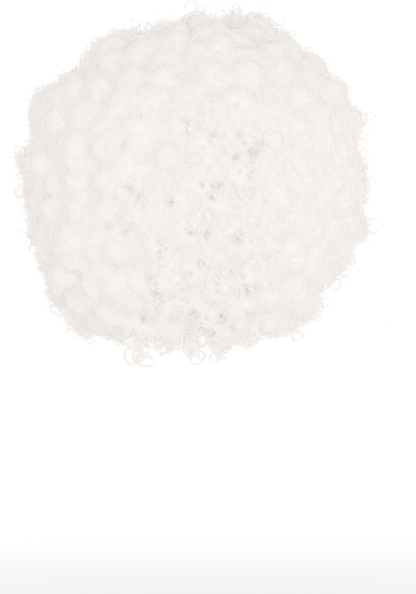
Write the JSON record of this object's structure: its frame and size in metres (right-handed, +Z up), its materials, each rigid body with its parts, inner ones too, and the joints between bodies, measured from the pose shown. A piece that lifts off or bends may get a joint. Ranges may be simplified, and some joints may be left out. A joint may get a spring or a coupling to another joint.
{
  "type": "afro wig",
  "caption": "Round afro wig of tight white curls on a stretch cap, open for the head, face and neck, with short locks hanging at the nape.",
  "frame": {"origin": "middle of the head hollow, level with the widest part of the head", "axes": "+Z up as worn, -Y the way the wearer faces, +X to the wearer's left; the head leaves along -Z"},
  "size_m": [0.2981, 0.3018, 0.3082],
  "materials": {
    "curl_fibre": "warm white synthetic fibre in tight soft curls, satin strands",
    "cap_net": "off-white stretch net with sewn rows"
  },
  "bodies": {
    "root": {"wig_cap": "cap_net", "curl_mass": "curl_fibre", "nape_lock_left": "curl_fibre", "nape_lock_mid_left": "curl_fibre", "nape_lock_centre": "curl_fibre", "nape_lock_mid_right": "curl_fibre", "nape_lock_right": "curl_fibre"}
  },
  "joints": []
}
